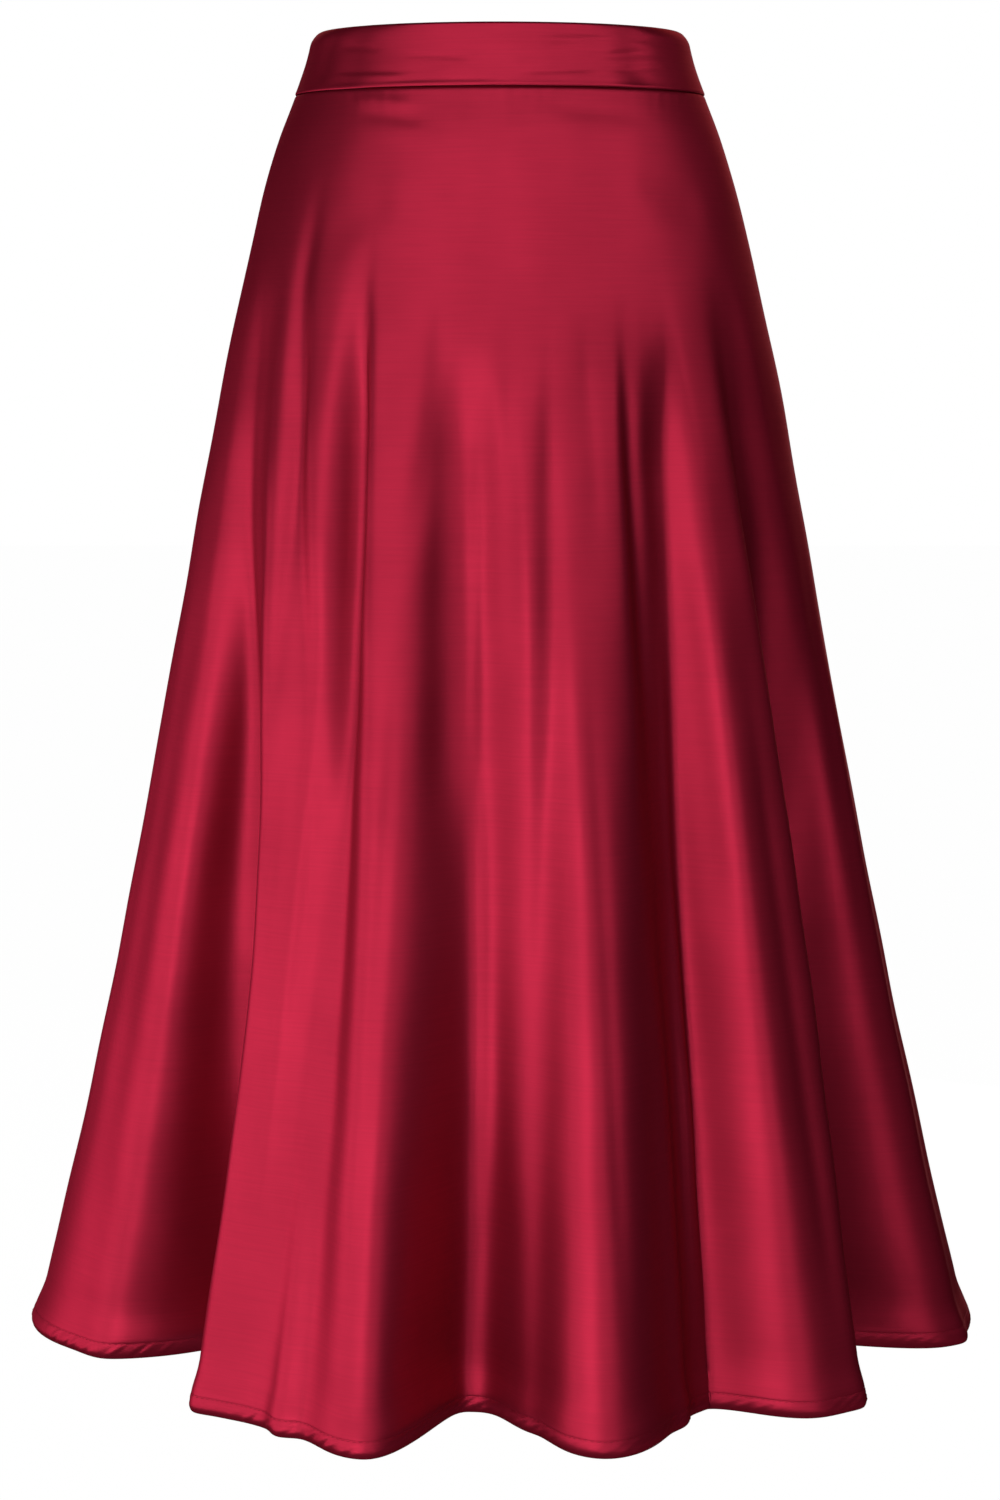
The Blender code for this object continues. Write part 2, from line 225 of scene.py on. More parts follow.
# name, height where it starts, angle at the hips, knee and hem (degrees round from the centre
# front), spread to the left and right with its squareness at the knee (degrees), the same at the
# hem, and how far the cloth moves out at hip, thigh, knee and hem
FOLDS = (
    ("left side valley", -0.09, (-69, -61, -62), (7.6, 11, 4.4), (7.3, 12.5, 5),
     (-0.0035, -0.014, -0.056, -0.108)),
    ("left side roll", -0.10, (-76, -66, -66), (13, 9, 2), (13, 9, 2),
     (-0.002, -0.008, -0.026, -0.055)),
    ("left lobe set back", -0.20, (-46, -42, -41), (12, 14, 2), (12, 14, 2),
     (-0.0005, -0.002, -0.018, -0.036)),
    ("left lobe dip", -0.07, (-56, -38, -36), (4.5, 4.5, 2), (3.4, 3.6, 2),
     (-0.005, -0.007, -0.004, -0.004)),
    ("left crease", -0.11, (-38, -30, -27), (6, 4, 2), (3, 5, 2),
     (-0.005, -0.018, -0.016, -0.012)),
    ("middle valley", -0.14, (-10, -4, -5.5), (10.5, 12, 2.2), (7, 12.5, 2.8),
     (-0.003, -0.017, -0.042, -0.100)),
    ("centre lobe dip", -0.16, (13, 9, 6), (3.8, 3.4, 2), (1.8, 1.8, 2),
     (-0.001, -0.004, -0.010, -0.007)),
    ("right valley", -0.15, (44, 38.5, 35), (12, 4.6, 2.2), (13.5, 6.8, 2.2),
     (-0.005, -0.019, -0.044, -0.070)),
    ("right valley crease", -0.14, (33, 31, 30), (3.5, 3.5, 2), (3, 3, 2),
     (-0.003, -0.007, -0.001, 0.0)),
    ("right lobe dip", -0.30, (46, 41.5, 37), (2.6, 2.6, 2), (2.6, 2.6, 2),
     (0.0, -0.001, -0.006, -0.009)),
    ("right lobe set back", -0.20, (50, 48, 48), (9, 9, 2), (9, 9, 2),
     (0.0, 0.0, -0.006, -0.016)),
    ("right side valley", -0.12, (63, 67, 66), (8, 8, 4), (10.5, 9, 5),
     (-0.004, -0.016, -0.060, -0.125)),
    ("right side roll", -0.15, (73, 73, 72), (8, 9, 2), (8, 9, 2),
     (-0.001, -0.004, -0.012, -0.025)),
    ("back right outer valley", -0.12, (108, 111, 113), (9, 8, 2.4), (10, 9, 3),
     (-0.0035, -0.014, -0.050, -0.115)),
    ("back right lobe dip", -0.18, (128, 130, 131), (3, 3, 2), (3, 3, 2),
     (-0.001, -0.003, -0.007, -0.008)),
    ("back right inner valley", -0.16, (149, 148, 147), (9, 8, 2.4), (10, 8, 3),
     (-0.003, -0.012, -0.036, -0.080)),
    ("centre back dip", -0.20, (171, 172, 173), (3.2, 2.8, 2), (3.2, 2.8, 2),
     (-0.001, -0.003, -0.006, -0.008)),
    ("back left inner valley", -0.13, (-161, -162, -163), (8, 9, 2.3), (9, 10, 3),
     (-0.004, -0.015, -0.048, -0.096)),
    ("back left crease", -0.14, (-140, -142, -143), (3.2, 2.8, 2), (3.2, 2.8, 2),
     (-0.002, -0.008, -0.009, -0.010)),
    ("back left outer valley", -0.15, (-126, -124, -122), (8, 7, 2.4), (9, 8, 3),
     (-0.003, -0.013, -0.032, -0.070)),
    ("back left side valley", -0.12, (-106, -104, -102), (5, 6, 2.2), (5, 6, 2.4),
     (-0.002, -0.007, -0.022, -0.046)),
)
HIP_SPREAD = 0.6
FOLD_EASE = 0.13


def flowing(at, stations, values):
    """A smooth curve through the values at their stations, read at the places asked for."""
    order = np.argsort(stations)
    x = np.asarray(stations, float)[order]
    y = np.asarray(values, float)[order]
    step = np.diff(x)
    rise = np.diff(y) / step
    slope = np.concatenate([rise[:1], (rise[:-1] * step[1:] + rise[1:] * step[:-1])
                            / (step[1:] + step[:-1]), rise[-1:]])
    at = np.clip(np.asarray(at, float), x[0], x[-1])
    k = np.clip(np.searchsorted(x, at) - 1, 0, len(x) - 2)
    t = (at - x[k]) / step[k]
    return ((1 + 2 * t) * (1 - t) ** 2 * y[k] + t * (1 - t) ** 2 * step[k] * slope[k]
            + t * t * (3 - 2 * t) * y[k + 1] + t * t * (t - 1) * step[k] * slope[k + 1])


def section(height):
    """Half width, front reach and back reach of the plain section at a height."""
    heights = [row[0] for row in SECTIONS]
    return [float(flowing(height, heights, [row[k] for row in SECTIONS])) for k in (1, 2, 3)]


def fold_push(angles, height):
    """How far the folds move the cloth out at each angle, at this height."""
    push = np.zeros_like(angles)
    places = (HEM, KNEE, HIP)
    for _, start, centres, at_knee, at_hem, depths in FOLDS:
        begun = min(max((start - height) / FOLD_EASE, 0.0), 1.0)
        if begun == 0.0:
            continue
        centre = float(flowing(height, places, centres[::-1]))
        to_left, to_right = (
            float(flowing(height, places, (at_hem[k], at_knee[k], at_knee[k] * HIP_SPREAD)))
            for k in (0, 1))
        square = float(flowing(height, places, (at_hem[2], at_knee[2], min(at_knee[2], 2.4))))
        depth = float(flowing(height, (HEM, KNEE, THIGH, HIP), depths[::-1]))
        away = (angles - centre + 180.0) % 360.0 - 180.0
        away = np.abs(away) / np.where(away < 0, to_left, to_right)
        push += depth * begun * begun * (3 - 2 * begun) * np.exp(-(away ** square))
    return push


def ring(angles, height):
    """Points of the cloth's face round the body at one height, as x and y."""
    half_width, front, back = section(height)
    turn = np.radians(angles)
    depth = np.where(np.cos(turn) > 0, front, back)
    reach = half_width * depth / np.hypot(depth * np.sin(turn), half_width * np.cos(turn))
    reach = reach + fold_push(angles, height)
    return np.stack([reach * np.sin(turn), -reach * np.cos(turn)], axis=1)


hem_ring = ring(np.linspace(-180, 180, 3601), HEM)
hem_sweep = float(np.linalg.norm(np.diff(hem_ring, axis=0), axis=1).sum())
print("hem sweep:", round(hem_sweep, 3), "m")

# %% [markdown]
# ## Small creases
# The folds above are the large shape. Satin also carries short soft wrinkles: pulls under the
# waist seam, slanting lines in the waistband where it bends round the waist, and long faint
# streaks down each lobe. They could be painted on a sculpted mesh, but a wrinkle is only a tapered
# trough or ridge along a short line, so each one here is a row: where it starts, where it ends,
# how wide it is and how far it moves the cloth. Rows are easy to add on the sides that nobody sees
# first, and every one can have a size of its own.

# %% Creases of the waistband and the skirt
# name, start and end (angle, height), half width and lift in metres. A crease fades over the last
# third of its length, so one that is still strong at the hem ends below it.
BAND_CREASES = (
    ("right upper pull", (36, 0.0035), (62, 0.0105), 0.0024, 0.00026),
    ("right middle trough", (34, -0.0020), (60, 0.0040), 0.0022, -0.00030),
    ("right middle ridge", (40, -0.0065), (66, -0.0010), 0.0024, 0.00024),
    ("right low trough", (36, -0.0100), (64, -0.0055), 0.0022, -0.00026),
    ("right end trough", (50, 0.0130), (72, 0.0075), 0.0026, -0.00035),
    ("right long trough", (12, 0.0085), (46, 0.0115), 0.0024, -0.00035),
    ("left low ridge", (-66, -0.0120), (-30, -0.0150), 0.0018, 0.00026),
    ("left low trough", (-62, -0.0090), (-30, -0.0108), 0.0026, -0.00018),
    ("left long trough", (-48, -0.0166), (4, -0.0158), 0.0016, -0.00018),
    ("left middle pull", (-40, 0.0010), (-8, -0.0025), 0.0026, -0.00030),
    ("left upper pull", (-64, 0.0085), (-42, 0.0040), 0.0024, -0.00040),
    ("middle upper pull", (-18, 0.0110), (22, 0.0085), 0.0026, 0.00025),
    ("middle low pull", (6, -0.0120), (38, -0.0090), 0.0020, -0.00030),
    ("left end dent", (-68, 0.0190), (-67, -0.0190), 0.0070, -0.00090),
    ("left broad dent", (-56, 0.0260), (-54, -0.0260), 0.0110, -0.00090),
    ("right broad dent", (52, 0.0260), (48, -0.0250), 0.0120, -0.00120),
    ("back right pull", (118, 0.0045), (142, -0.0010), 0.0022, -0.00050),
    ("back right ridge", (122, -0.0070), (146, -0.0105), 0.0018, 0.00040),
    ("back right end", (98, -0.0100), (112, -0.0040), 0.0020, -0.00045),
    ("zip right pull", (158, 0.0080), (176, 0.0115), 0.0018, -0.00045),
    ("zip right low pull", (160, -0.0120), (177, -0.0080), 0.0017, 0.00040),
    ("zip left pull", (-176, 0.0030), (-156, -0.0030), 0.0019, -0.00045),
    ("zip left low pull", (-175, -0.0130), (-158, -0.0150), 0.0015, 0.00040),
    ("back left pull", (-146, 0.0070), (-118, 0.0100), 0.0024, -0.00045),
    ("back left ridge", (-138, -0.0060), (-108, -0.0100), 0.0020, 0.00040),
)
SKIRT_CREASES = (
    ("left seam ridge", (-54, -0.0280), (-28, -0.0338), 0.0045, 0.00050),
    ("left seam trough", (-50, -0.0372), (-22, -0.0432), 0.0058, -0.00042),
    ("left seam low ridge", (-42, -0.0500), (-14, -0.0590), 0.0080, 0.00022),
    ("right seam trough", (14, -0.0340), (52, -0.0400), 0.0060, -0.00020),
    ("right seam ridge", (18, -0.0480), (52, -0.0540), 0.0080, 0.00018),
    ("left valley fold", (-67.8, -0.3000), (-67.6, -1.1500), 0.0070, -0.01100),
    ("left roll crest", (-73.5, -0.3400), (-73, -1.1500), 0.0140, 0.00250),
    ("right valley fold", (74.5, -0.3200), (73.5, -1.1500), 0.0085, -0.00500),
    ("right roll crest", (81, -0.3000), (80.5, -1.1500), 0.0110, 0.00600),
    ("right hip trough", (40, -0.0800), (64, -0.1050), 0.0120, -0.00100),
    ("left hip trough", (-30, -0.0900), (-52, -0.1250), 0.0120, -0.00080),
    ("front soft trough", (-16, -0.1500), (-20, -0.3400), 0.0090, -0.00120),
    ("front soft streak", (2, -0.1700), (3, -0.4200), 0.0080, -0.00110),
    ("front middle streak", (-6, -0.2200), (-6, -0.5000), 0.0060, 0.00110),
    ("front right streak", (22, -0.1700), (22, -0.3300), 0.0070, -0.00120),
    ("left crease line", (-40.5, -0.1400), (-31, -0.5200), 0.0085, -0.00260),
    ("middle valley start", (-15.5, -0.1600), (-10.5, -0.5600), 0.0130, -0.00360),
    ("left lobe streak", (-52, -0.1500), (-47, -0.4800), 0.0060, -0.00140),
    ("left lobe low streak", (-46, -0.4200), (-44, -0.8600), 0.0075, -0.00190),
    ("left lobe inner streak", (-35, -0.4300), (-33, -1.1500), 0.0115, -0.00320),
    ("left lobe crest line", (-40, -0.3600), (-39, -0.8200), 0.0050, 0.00130),
    ("centre left streak", (-21, -0.3600), (-20, -0.8700), 0.0070, -0.00120),
    ("middle floor streak", (-4, -0.4500), (-3, -0.7800), 0.0080, 0.00120),
    ("centre right streak", (18, -0.3600), (17, -0.8600), 0.0065, -0.00110),
    ("right lobe streak", (44, -0.3000), (43, -0.6200), 0.0050, -0.00120),
    ("right lobe outer streak", (52, -0.3800), (50, -0.8700), 0.0065, -0.00150),
    ("right lobe inner line", (39, -0.3400), (34.5, -0.8600), 0.0045, 0.00110),
    ("centre lobe left swell", (2, -0.6000), (2, -1.2500), 0.0200, 0.00150),
    ("right lobe left swell", (28.5, -0.5000), (27.5, -1.2500), 0.0120, 0.00500),
    ("right lobe right swell", (37, -0.5000), (36, -1.2500), 0.0120, 0.00550),
    ("left side streak", (-79, -0.2600), (-78, -0.8600), 0.0120, -0.00100),
    ("left side line", (-86, -0.3400), (-85, -0.8300), 0.0070, 0.00140),
    ("right side streak", (80, -0.2600), (79, -0.8500), 0.0090, -0.00200),
    ("right side line", (87, -0.4200), (86, -0.8700), 0.0070, 0.00130),
    ("back right seam trough", (108, -0.0320), (138, -0.0420), 0.0055, -0.00045),
    ("back right seam ridge", (118, -0.0460), (148, -0.0570), 0.0070, 0.00030),
    ("back left seam trough", (-152, -0.0350), (-122, -0.0300), 0.0055, -0.00042),
    ("back left seam ridge", (-158, -0.0490), (-126, -0.0440), 0.0065, 0.00030),
    ("zip end pull right", (166, -0.1950), (178, -0.1790), 0.0040, -0.00080),
    ("zip end pull left", (-178, -0.1780), (-164, -0.1990), 0.0040, -0.00080),
    ("back right streak", (122, -0.2600), (124, -0.7200), 0.0070, -0.00160),
    ("back right low streak", (134, -0.4400), (136, -0.8700), 0.0070, 0.00150),
    ("back middle streak", (164, -0.2800), (163, -0.8400), 0.0075, -0.00170),
    ("back middle line", (178, -0.3600), (177, -0.8700), 0.0065, 0.00130),
    ("back left streak", (-150, -0.3000), (-151, -0.8600), 0.0070, -0.00160),
    ("back left line", (-134, -0.3600), (-133, -0.8500), 0.0065, 0.00140),
    ("back left side streak", (-114, -0.2600), (-113, -0.8200), 0.0070, -0.00160),
    ("back right side streak", (97, -0.3000), (98, -0.8400), 0.0070, -0.00150),
)


TOP_LEAN = 0.0040
TOP_LEAN_HEIGHT = 0.0085
HEM_CURL = 0.0022
HEM_SWELL_HEIGHT = 0.013
HEM_TUCK_HEIGHT = 0.006
GATHER_LIFT = 0.00012
GATHER_REACH = 0.010


def ease(amount):
    """From 0 to 1 with a soft start and a soft end."""
    amount = np.clip(amount, 0.0, 1.0)
    return amount * amount * (3 - 2 * amount)


def crease_lift(angles, height, creases):
    """How far the creases lift the cloth at each angle of one row."""
    lift = np.zeros_like(angles)
    half_width, front, back = section(height)
    reach = (half_width + (front + back) / 2) / 2
    for _, (first_angle, first_height), (last_angle, last_height), wide, high in creases:
        low, top = sorted((first_height, last_height))
        if not low - 3 * wide < height < top + 3 * wide:
            continue
        run = np.array((math.radians(last_angle - first_angle) * reach, last_height - first_height))
        aside = np.radians((angles - first_angle + 180.0) % 360.0 - 180.0) * reach
        up = height - first_height
        share = np.clip((aside * run[0] + up * run[1]) / (run @ run), 0.0, 1.0)
        away = np.hypot(aside - share * run[0], up - share * run[1])
        taper = ease(share / 0.3) * ease((1 - share) / 0.3)
        lift += high * taper * np.exp(-((away / wide) ** 2))
    return lift


def unevenness(angles, height):
    """Slow shallow waves, whole numbers of them round the body, so that no panel looks ironed."""
    turn = np.radians(angles)
    slow = np.sin(7 * turn + 31 * height + 0.8) * np.sin(19 * height + 2 * turn)
    quick = np.sin(17 * turn - 22 * height + 2.1) * np.sin(43 * height + 3 * turn + 0.4)
    return 0.00045 * slow + 0.00028 * quick


def hem_curl(height):
    """The stitched hem is stiff: it swells out a little above the edge and curls in at it."""
    above = height - HEM
    swell = HEM_CURL * math.exp(-(((above - HEM_SWELL_HEIGHT) / HEM_SWELL_HEIGHT) ** 2))
    return swell - HEM_CURL * max(0.0, 1 - above / HEM_TUCK_HEIGHT) ** 2


def skirt_relief(angles, along, height):
    """Creases and waves, the curl of the hem, and the fine gathering just under the waist seam."""
    under = BAND_FOOT - height
    gather = np.sin(along * 620.0) + 0.7 * np.sin(along * 391.0 + 1.1)
    gather *= 0.5 + 0.5 * np.sin(along * 57.0 + 0.6)
    waves = unevenness(angles, height) * ease(under / 0.06)
    lift = crease_lift(angles, height, SKIRT_CREASES) + waves
    return lift + hem_curl(height) + GATHER_LIFT * gather * math.exp(-under / GATHER_REACH)


def band_relief(angles, along, height):
    """Creases and waves of the waistband, and the lean that rounds its two upper corners."""
    inside = math.cos(height / BAND_TOP * math.pi / 2)
    lean = max(0.0, 1 - (BAND_TOP - height) / TOP_LEAN_HEIGHT) ** 2
    corner = np.sin(np.radians(angles)) ** 4
    waves = 0.3 * inside * unevenness(angles, height * 3)
    return crease_lift(angles, height, BAND_CREASES) + waves - TOP_LEAN * lean * corner


print("creases:", len(BAND_CREASES), "in the waistband and", len(SKIRT_CREASES), "in the skirt")

# %% [markdown]
# ## A shell of cloth
# A panel is a fine grid: its rows are rings at falling heights and its columns are evenly spaced
# from one seam to the next, so they run down the cloth as its own threads do. A few more columns
# stand close to each seam, where the cloth turns in. The grid gets a back a little way inside it,
# so that the hem and the seams have a real edge, and the back takes the dull side of the satin.
# Each point also remembers where it lies on the flat cloth, in metres, which the weave uses later.

# %% Build a shell
RING_SAMPLES = 1400
SIDE = 90.0
BACK = 180.0
CLOTH_THICKNESS = 0.0007
EDGE_STEPS = (0.0, 0.0003, 0.0008, 0.0016)
EDGE_ROLL = 0.00035
# degrees that each edge runs past its seam, so that no light comes through
SEAM_LAP = 0.03


def strip(first, last, height, count, gap_first, gap_last):
    """Points on a ring between two seams, the way out and the angle at each, and how far along
    each is from the middle and from the nearer seam."""
    angles = np.linspace(first - SEAM_LAP, last + SEAM_LAP, RING_SAMPLES)
    points = ring(angles, height)
    along = np.concatenate([[0.0], np.cumsum(np.linalg.norm(np.diff(points, axis=0), axis=1))])
    steps = np.array(EDGE_STEPS)
    left, right = gap_first + steps, along[-1] - gap_last - steps[::-1]
    at = np.concatenate([left, np.linspace(left[-1], right[0], count + 1)[1:-1], right])
    forward = np.gradient(points, along, axis=0)
    place = np.stack([np.interp(at, along, points[:, k]) for k in (0, 1)], axis=1)
    heading = np.stack([np.interp(at, along, forward[:, k]) for k in (0, 1)], axis=1)
    heading /= np.linalg.norm(heading, axis=1)[:, None]
    from_seam = np.minimum(at - left[0], right[-1] - at)
    out = np.stack([heading[:, 1], -heading[:, 0]], axis=1)
    return place, out, np.interp(at, along, angles), at - along[-1] / 2, from_seam


def shell(name, materials, first, last, count, rows, relief):
    """A closed cloth shell between two seams. Each row is a height, how far its face lies outside
    the ring, its thickness, and the gap at its first and last edge. relief(angles, along, height)
    adds small creases to the face. The materials are the face's and the back's."""
    face, inner, flat = [], [], []
    travelled = 0.0
    before = None
    for height, outside, thick, gap_first, gap_last in rows:
        place, out, angles, along, from_seam = strip(first, last, height, count, gap_first,
                                                     gap_last)
        roll = EDGE_ROLL * np.clip(1 - from_seam / EDGE_STEPS[-1], 0.0, 1.0) ** 2
        lift = outside + relief(angles, along, height) - roll
        level = np.full(len(along), height)
        top = np.column_stack([place + out * lift[:, None], level])
        low = np.column_stack([place + out * (lift - thick + roll)[:, None], level])
        if before is not None:
            travelled += float(np.median(np.linalg.norm(top - before, axis=1)))
        before = top
        face.append(top)
        inner.append(low)
        flat.append(np.column_stack([along, np.full(len(along), -travelled)]))
    rings, width = len(rows), len(face[0])
    points = np.concatenate([np.concatenate(face), np.concatenate(inner)])
    flat = np.concatenate([np.concatenate(flat)] * 2)
    grid = np.arange(rings * width).reshape(rings, width)
    quads = np.stack([grid[:-1, :-1], grid[1:, :-1], grid[1:, 1:], grid[:-1, 1:]],
                     axis=-1).reshape(-1, 4)
    under = grid + rings * width
    back = np.stack([under[:-1, :-1], under[:-1, 1:], under[1:, 1:], under[1:, :-1]],
                    axis=-1).reshape(-1, 4)
    edges = []
    for line, hidden in ((grid[0, ::-1], under[0, ::-1]), (grid[-1], under[-1]),
                         (grid[:, 0], under[:, 0]), (grid[::-1, -1], under[::-1, -1])):
        edges.append(np.stack([line[:-1], hidden[:-1], hidden[1:], line[1:]], axis=-1))
    faces = np.concatenate([quads, *edges, back])
    mesh = bpy.data.meshes.new(name)
    mesh.from_pydata(points.tolist(), [], faces.tolist())
    uv = mesh.uv_layers.new(name="cloth")
    corner = np.empty(len(mesh.loops), np.int32)
    mesh.loops.foreach_get("vertex_index", corner)
    uv.data.foreach_set("uv", flat[corner].ravel())
    for material in materials:
        mesh.materials.append(material)
    side = np.zeros(len(faces), np.int32)
    side[-len(back):] = 1
    mesh.polygons.foreach_set("material_index", side)
    mesh.shade_smooth()
    mesh.set_sharp_from_angle(angle=math.radians(60))
    piece = add_object(name, mesh)
    print(name, "has", 2 * len(mesh.polygons), "triangles")
    return piece


# %% [markdown]
# ## Satin
# Satin gets its gloss from long threads that float over the cross threads. They all lie the same
# way, so the gloss is soft and spreads across them: a highlight that is wide round the skirt and
# narrow up and down it. A mirror-like clear coat would look like plastic and a plain matte would
# look like cotton, so the surface here is a rough metal-like reflector tinted crimson, stretched
# sideways along the cloth. The threads, the thicker yarns here and there and the slow clouds that
# a large piece of satin always shows come from one node group, so that each cloth of the skirt can
# use it with its own numbers. Red cloth that lights red cloth turns the floor of a valley glowing
# red, where the real one stays a deep wine. So the colour is darker for light that has already met
# the cloth once, and the camera still sees the full crimson.

# %% A node group for woven threads
woven = bpy.data.node_groups.new("woven threads", "ShaderNodeTree")
for title, kind in (("Cloth", "NodeSocketVector"), ("Threads per metre", "NodeSocketFloat")):
    woven.interface.new_socket(title, in_out="INPUT", socket_type=kind)
for title in ("Relief", "Slub", "Cloud"):
    woven.interface.new_socket(title, in_out="OUTPUT", socket_type="NodeSocketFloat")
given = woven.nodes.new("NodeGroupInput")
result = woven.nodes.new("NodeGroupOutput")


def math_node(tree, operation, first, second=None, third=None):
    """A math node fed by sockets or plain numbers. Returns its output."""
    node = tree.nodes.new("ShaderNodeMath")
    node.operation = operation
    for slot, value in enumerate((first, second, third)):
        if value is None:
            continue
        if isinstance(value, (int, float)):
            node.inputs[slot].default_value = value
        else:
            tree.links.new(value, node.inputs[slot])
    return node.outputs[0]


def stretched_noise(tree, cloth, stretch, detail, roughness):
    """Noise over the flat cloth, finer or coarser along it and down it."""
    scale = tree.nodes.new("ShaderNodeVectorMath")
    scale.operation = "MULTIPLY"
    scale.inputs[1].default_value = stretch
    tree.links.new(cloth, scale.inputs[0])
    noise = tree.nodes.new("ShaderNodeTexNoise")
    noise.inputs["Scale"].default_value = 1.0
    noise.inputs["Detail"].default_value = detail
    noise.inputs["Roughness"].default_value = roughness
    tree.links.new(scale.outputs[0], noise.inputs["Vector"])
    return noise.outputs["Fac"]


threads = woven.nodes.new("ShaderNodeVectorMath")
threads.operation = "SCALE"
woven.links.new(given.outputs["Cloth"], threads.inputs[0])
woven.links.new(given.outputs["Threads per metre"], threads.inputs["Scale"])
split = woven.nodes.new("ShaderNodeSeparateXYZ")
woven.links.new(threads.outputs[0], split.inputs[0])
warp = math_node(woven, "SINE", math_node(woven, "MULTIPLY", split.outputs[0], 6.2832))
thread_number = math_node(woven, "FLOOR", split.outputs[0])
shifted = math_node(woven, "MULTIPLY_ADD", thread_number, 2.0, split.outputs[1])
float_length = math_node(woven, "SINE", math_node(woven, "MULTIPLY", shifted, 1.2566))
relief_height = math_node(woven, "MULTIPLY_ADD", float_length, 0.35, warp)
woven.links.new(relief_height, result.inputs["Relief"])
woven.links.new(stretched_noise(woven, given.outputs["Cloth"], (22.0, 640.0, 1.0), 2.0, 0.6),
                result.inputs["Slub"])
woven.links.new(stretched_noise(woven, given.outputs["Cloth"], (15.0, 9.0, 1.0), 3.0, 0.55),
                result.inputs["Cloud"])
print("woven threads:", len(woven.nodes), "nodes")

# %% The satin and the other cloths
SATIN = (0.56, 0.0235, 0.062)
# Painted shade between the folds: the share of its colour that cloth keeps for light that has already
# met a surface, which darkens the valleys.
PAINTED_FOLD_SHADE = 0.45


def cloth_material(name, colour, metallic, roughness, anisotropic, threads_per_metre, depth,
                   slub, cloud):
    """A woven finish. slub and cloud are how much they change the colour and the roughness."""
    material, tree, shader = new_material(name)
    shader.inputs["Metallic"].default_value = metallic
    shader.inputs["Specular Tint"].default_value = (0.42, 0.04, 0.075, 1.0)
    shader.inputs["Anisotropic"].default_value = anisotropic
    flat = tree.nodes.new("ShaderNodeUVMap")
    flat.uv_map = "cloth"
    across = tree.nodes.new("ShaderNodeTangent")
    across.direction_type = "UV_MAP"
    across.uv_map = "cloth"
    tree.links.new(across.outputs["Tangent"], shader.inputs["Tangent"])
    weave = tree.nodes.new("ShaderNodeGroup")
    weave.node_tree = woven
    weave.inputs["Threads per metre"].default_value = threads_per_metre
    tree.links.new(flat.outputs["UV"], weave.inputs["Cloth"])
    uneven = math_node(tree, "MULTIPLY_ADD", weave.outputs["Slub"], slub, 0.5 - slub / 2)
    uneven = math_node(tree, "MULTIPLY_ADD", math_node(tree, "SUBTRACT", weave.outputs["Cloud"], 0.5),
                       cloud, uneven)
    tint = tree.nodes.new("ShaderNodeMix")
    tint.data_type = "RGBA"
    tree.links.new(uneven, tint.inputs["Factor"])
    tint.inputs["A"].default_value = (*(0.80 * part for part in colour), 1.0)
    tint.inputs["B"].default_value = (*(min(1.0, 1.20 * part) for part in colour), 1.0)
    # Painted shade: light that has already bounced off a surface sees a darker colour, which deepens
    # the valley floors.
    ray = tree.nodes.new("ShaderNodeLightPath")
    painted_shade_mask = math_node(tree, "MAXIMUM", ray.outputs["Is Glossy Ray"], ray.outputs["Is Diffuse Ray"])
    passed = tree.nodes.new("ShaderNodeVectorMath")
    passed.operation = "SCALE"
    tree.links.new(tint.outputs["Result"], passed.inputs[0])
    tree.links.new(math_node(tree, "MULTIPLY_ADD", painted_shade_mask, PAINTED_FOLD_SHADE - 1.0, 1.0),
                   passed.inputs["Scale"])
    tree.links.new(passed.outputs[0], shader.inputs["Base Color"])
    rough = math_node(tree, "MULTIPLY_ADD", uneven, -0.12, roughness + 0.06)
    tree.links.new(rough, shader.inputs["Roughness"])
    bump = tree.nodes.new("ShaderNodeBump")
    bump.inputs["Strength"].default_value = 0.3
    bump.inputs["Distance"].default_value = depth
    tree.links.new(weave.outputs["Relief"], bump.inputs["Height"])
    tree.links.new(bump.outputs["Normal"], shader.inputs["Normal"])
    return material


satin = cloth_material("crimson satin", SATIN, 0.85, 0.40, 0.7, 2600, 0.00001, 0.5, 0.6)
reverse = cloth_material("satin reverse", (0.30, 0.012, 0.030), 0.35, 0.62, 0.2, 2600, 0.00002,
                         0.5, 0.6)
thread = cloth_material("crimson thread", (0.42, 0.016, 0.040), 0.45, 0.45, 0.0, 5200, 0.00003,
                        0.6, 0.4)
tape = cloth_material("woven zip tape", (0.32, 0.014, 0.032), 0.10, 0.70, 0.0, 1800, 0.00008,
                      0.7, 0.4)
print("cloth finishes:", satin.name, reverse.name, thread.name, tape.name)

# %% [markdown]
# ## The skirt panels
# Three flared panels make the skirt: one front and two backs, with seams at both sides and down
# the centre back. Each one takes the place of its solid. At the waist seam the cloth turns in under
# the waistband, which draws the fine dark line between the two, and the rows there are close
# together so that the pulls under the seam stay crisp.

# %% Panels
SEAM_GAP = 0.0003
ZIP_GAP = 0.0016
ZIP_CLOSED = 0.0005
ZIP_END = -0.175
SLIDER_FOOT = 0.0010
SLIDER_HEAD = 0.0104
WAIST_ROLL = 0.0008
WAIST_ROLL_HEIGHT = 0.0016
STITCH_DENT = 0.00012


def edge_gap(height, at_zip):
    """How far an edge stands back from its seam. At the zip the two edges stay a little apart,
    and a little more beside the slider."""
    if at_zip and height > ZIP_END:
        beside = max(SLIDER_FOOT - height, height - SLIDER_HEAD, 0.0)
        parted = float(ease(1 - beside / 0.004))
        return (ZIP_CLOSED + (ZIP_GAP - ZIP_CLOSED) * parted) / 2
    return 0.0


